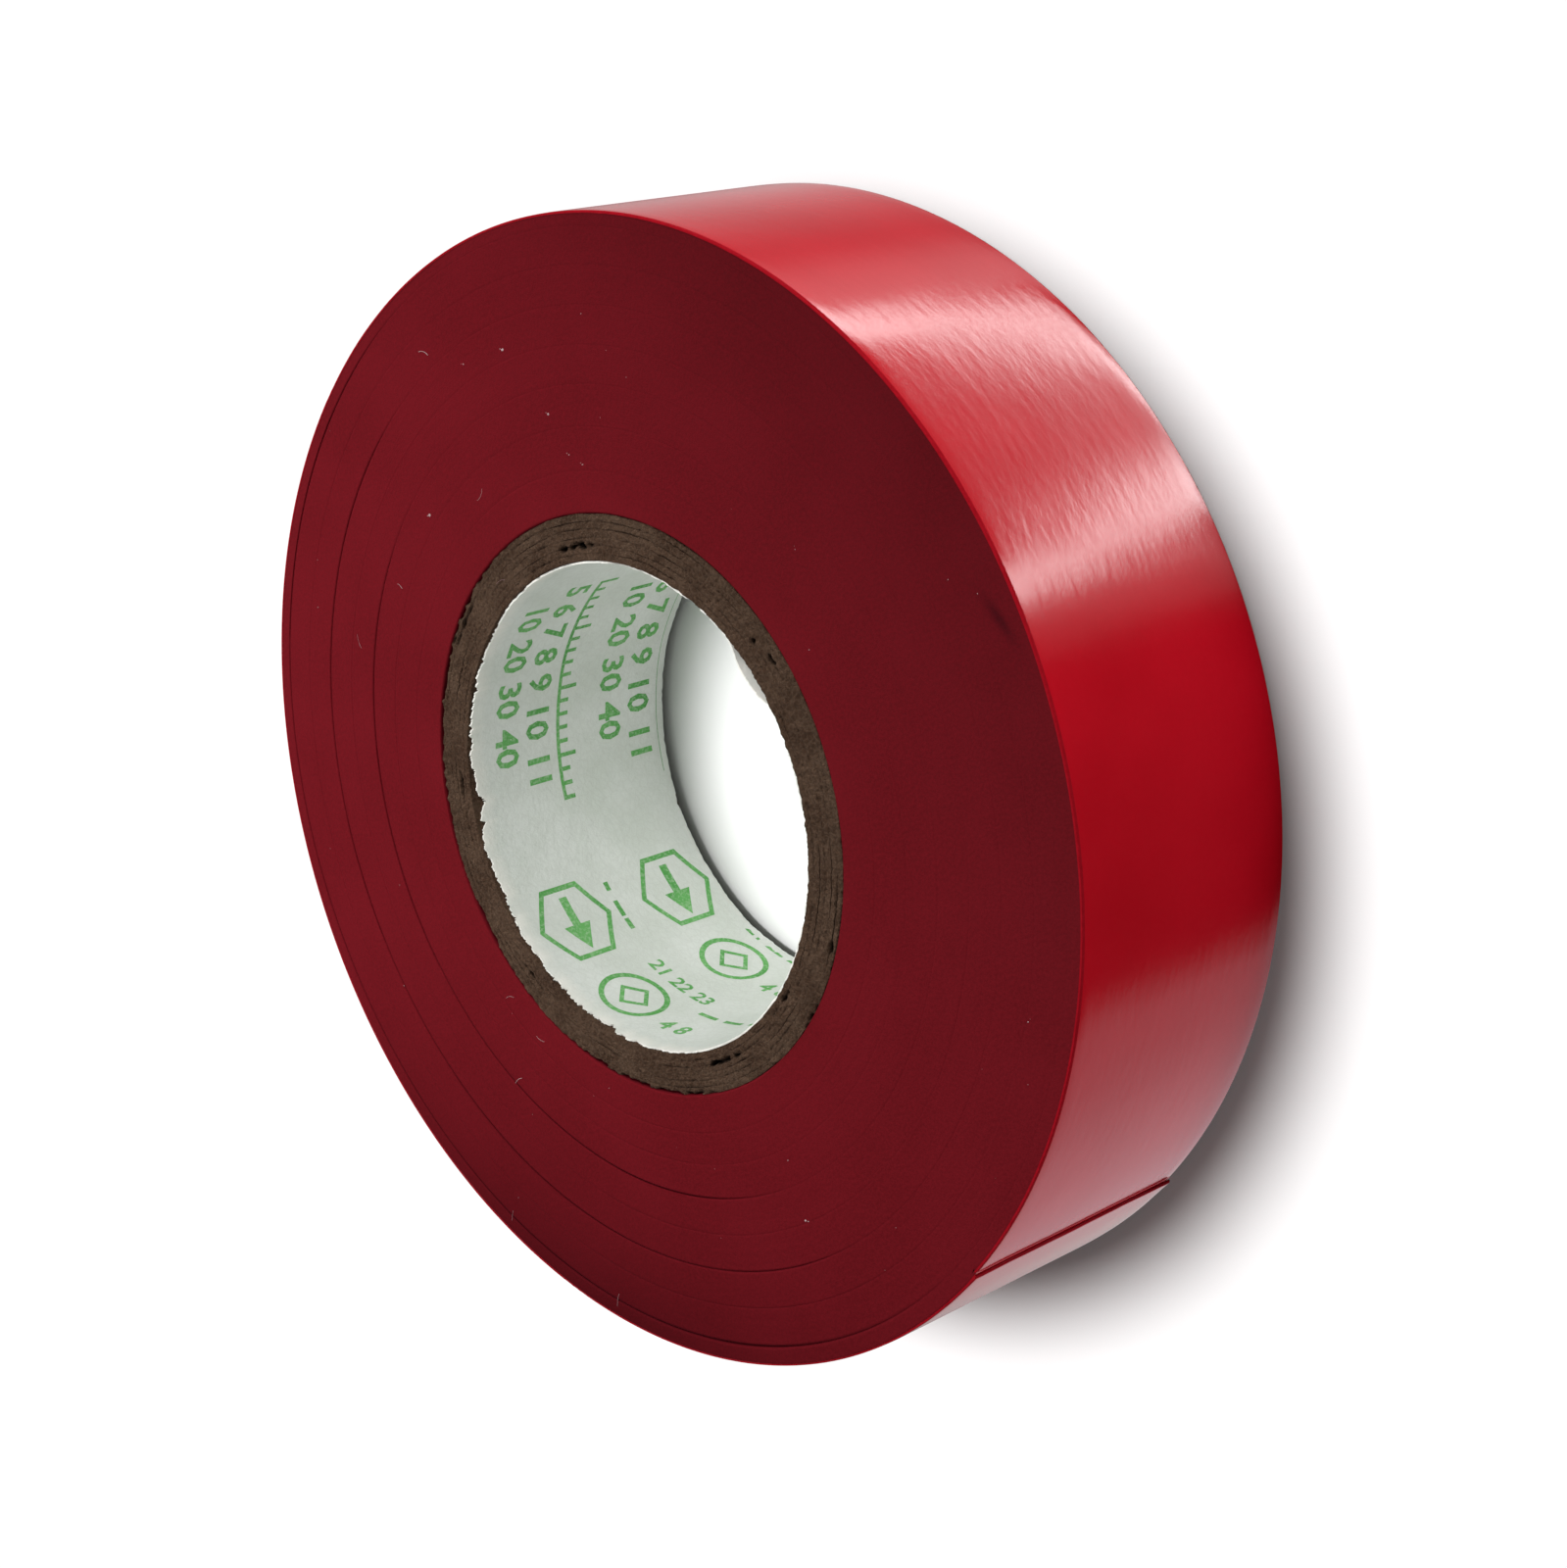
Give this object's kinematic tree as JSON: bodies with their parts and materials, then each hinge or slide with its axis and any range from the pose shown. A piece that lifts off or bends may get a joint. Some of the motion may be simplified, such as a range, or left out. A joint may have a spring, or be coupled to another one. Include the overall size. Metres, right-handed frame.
{
  "type": "electrical tape roll",
  "caption": "Flat-lying roll of glossy red adhesive tape on a paperboard core with a printed liner; the cut end peels off the outermost turn.",
  "frame": {"origin": "on the bore axis at the roll's lower face", "axes": "+Z along the bore, up through the upper face; +X across the roll; the strip's cut end lies at 61 degrees clockwise from +X seen from +Z, and the strip is wound anticlockwise seen from +Z"},
  "size_m": [0.077, 0.0771, 0.019],
  "materials": {
    "tape_film": "satin-gloss soft vinyl film, saturated red",
    "tape_face": "matte dark red side of the wound strip, with fine concentric lines",
    "adhesive": "thin tacky rubber adhesive, dark red through the film",
    "core_board": "raw grey-brown paperboard, fibrous cut ends",
    "liner_paper": null
  },
  "bodies": {
    "roll": {"liner": "liner_paper", "core_ply_1": "core_board", "core_ply_2": "core_board", "core_ply_3": "core_board", "core_ply_4": "core_board", "core_ply_5": "core_board", "core_ply_6": "core_board", "turn_band_1": "tape_face", "turn_band_2": "tape_face", "turn_band_3": "tape_face", "turn_band_4": "tape_face", "turn_band_5": "tape_face", "turn_band_6": "tape_face", "turn_band_7": "tape_face", "turn_band_8": "tape_face", "last_turn_adhesive": "adhesive", "last_turn_film": "tape_film"},
    "tail_1": {"tail_film_1": "tape_film", "tail_adhesive_1": "adhesive"},
    "tail_2": {"tail_film_2": "tape_film", "tail_adhesive_2": "adhesive"},
    "tail_3": {"tail_film_3": "tape_film", "tail_adhesive_3": "adhesive"},
    "tail_4": {"tail_film_4": "tape_film", "tail_adhesive_4": "adhesive"},
    "tail_5": {"tail_film_5": "tape_film", "tail_adhesive_5": "adhesive"}
  },
  "joints": [
    {"name": "peel_1", "type": "hinge", "parent": "roll", "child": "tail_1", "pos_m": [-0.01982, -0.03313, 0.0095], "axis": [0, 0, -1], "range_deg": [0, 90]},
    {"name": "peel_2", "type": "hinge", "parent": "tail_1", "child": "tail_2", "pos_m": [-0.01251, -0.03654, 0.0095], "axis": [0, 0, -1], "range_deg": [0, 12]},
    {"name": "peel_3", "type": "hinge", "parent": "tail_2", "child": "tail_3", "pos_m": [-0.00466, -0.03835, 0.0095], "axis": [0, 0, -1], "range_deg": [0, 12]},
    {"name": "peel_4", "type": "hinge", "parent": "tail_3", "child": "tail_4", "pos_m": [0.0034, -0.03849, 0.0095], "axis": [0, 0, -1], "range_deg": [0, 12]},
    {"name": "peel_5", "type": "hinge", "parent": "tail_4", "child": "tail_5", "pos_m": [0.01132, -0.03695, 0.0095], "axis": [0, 0, -1], "range_deg": [0, 12]}
  ],
  "couplings": [
    {"joint": "peel_2", "follows": "peel_1", "ratio": 0.13333},
    {"joint": "peel_3", "follows": "peel_1", "ratio": 0.13333},
    {"joint": "peel_4", "follows": "peel_1", "ratio": 0.13333},
    {"joint": "peel_5", "follows": "peel_1", "ratio": 0.13333}
  ]
}
